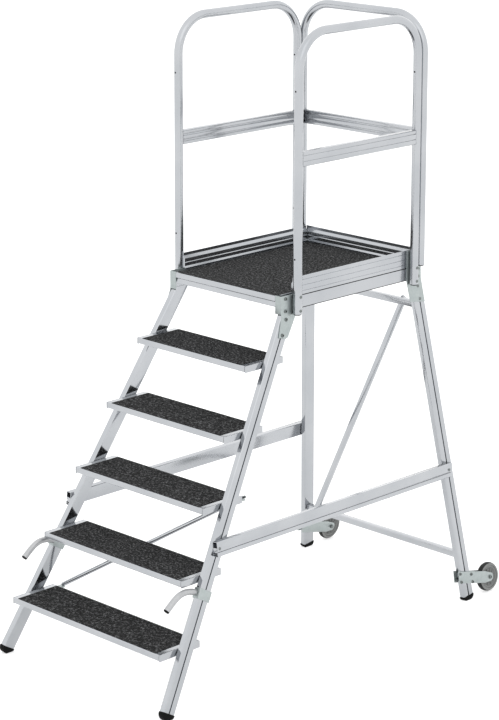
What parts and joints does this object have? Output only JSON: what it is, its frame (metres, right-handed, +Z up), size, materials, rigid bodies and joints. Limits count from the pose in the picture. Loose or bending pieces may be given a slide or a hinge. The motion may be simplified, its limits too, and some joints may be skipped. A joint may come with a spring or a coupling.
{
  "type": "rolling platform ladder",
  "caption": "Aluminium platform ladder with gritted treads, a deck with toe boards, tubular guard hoops and rear wheels that roll when it is tipped back.",
  "frame": {"origin": "on the floor, in the middle of the ladder's footprint, measured over the whole object", "axes": "+Z up, +Y the way a user climbs, +X to the climber's right"},
  "size_m": [0.9452, 1.9383, 2.4495],
  "materials": {
    "aluminium": "bright drawn aluminium extrusion, fine lines along its length",
    "galvanised_steel": "galvanised, with a faint crystalline bloom",
    "grit_sheet": "coarse black anti-slip grit",
    "foot_rubber": "moulded, dull",
    "tyre_rubber": "dark grey solid tyre",
    "rim_plastic": "grey moulded wheel centre"
  },
  "bodies": {
    "ladder": {"front_bracket_left": "galvanised_steel", "front_bracket_right": "galvanised_steel", "front_foot_left": "foot_rubber", "front_foot_right": "foot_rubber", "front_stile_left": "aluminium", "front_stile_right": "aluminium", "guard_hoop_back": "aluminium", "guard_hoop_left": "aluminium", "guard_hoop_right": "aluminium", "handle_clamp_left": "galvanised_steel", "handle_clamp_right": "galvanised_steel", "handle_left": "galvanised_steel", "handle_right": "galvanised_steel", "knee_rail_back": "aluminium", "knee_rail_left": "aluminium", "knee_rail_right": "aluminium", "platform_deck": "aluminium", "platform_grip": "grit_sheet", "platform_nosing": "aluminium", "platform_rear_frame": "aluminium", "platform_side_frame_left": "aluminium", "platform_side_frame_right": "aluminium", "rear_bracket_left": "galvanised_steel", "rear_bracket_right": "galvanised_steel", "rear_cross_bar_lower": "aluminium", "rear_cross_bar_upper": "aluminium", "rear_diagonal": "aluminium", "rear_foot_left": "foot_rubber", "rear_foot_right": "foot_rubber", "rear_leg_left": "aluminium", "rear_leg_right": "aluminium", "side_brace_left": "aluminium", "side_brace_right": "aluminium", "tie_rod": "aluminium", "toe_board_back": "aluminium", "toe_board_left": "aluminium", "toe_board_right": "aluminium", "tread_1": "aluminium", "tread_2": "aluminium", "tread_3": "aluminium", "tread_4": "aluminium", "tread_5": "aluminium", "tread_grip_1": "grit_sheet", "tread_grip_2": "grit_sheet", "tread_grip_3": "grit_sheet", "tread_grip_4": "grit_sheet", "tread_grip_5": "grit_sheet", "wheel_axle_left": "galvanised_steel", "wheel_axle_right": "galvanised_steel", "wheel_plate_inner_left": "galvanised_steel", "wheel_plate_inner_right": "galvanised_steel", "wheel_plate_outer_left": "galvanised_steel", "wheel_plate_outer_right": "galvanised_steel"},
    "wheel_left": {"wheel_rim_left": "rim_plastic", "wheel_tyre_left": "tyre_rubber"},
    "wheel_right": {"wheel_rim_right": "rim_plastic", "wheel_tyre_right": "tyre_rubber"}
  },
  "joints": [
    {"name": "wheel_left_spin", "type": "hinge", "parent": "ladder", "child": "wheel_left", "pos_m": [-0.45003, 0.9091, 0.062], "axis": [0.9928, 0, -0.1201], "continuous": true},
    {"name": "wheel_right_spin", "type": "hinge", "parent": "ladder", "child": "wheel_right", "pos_m": [0.45003, 0.9091, 0.062], "axis": [0.9928, 0, 0.1201], "continuous": true}
  ]
}
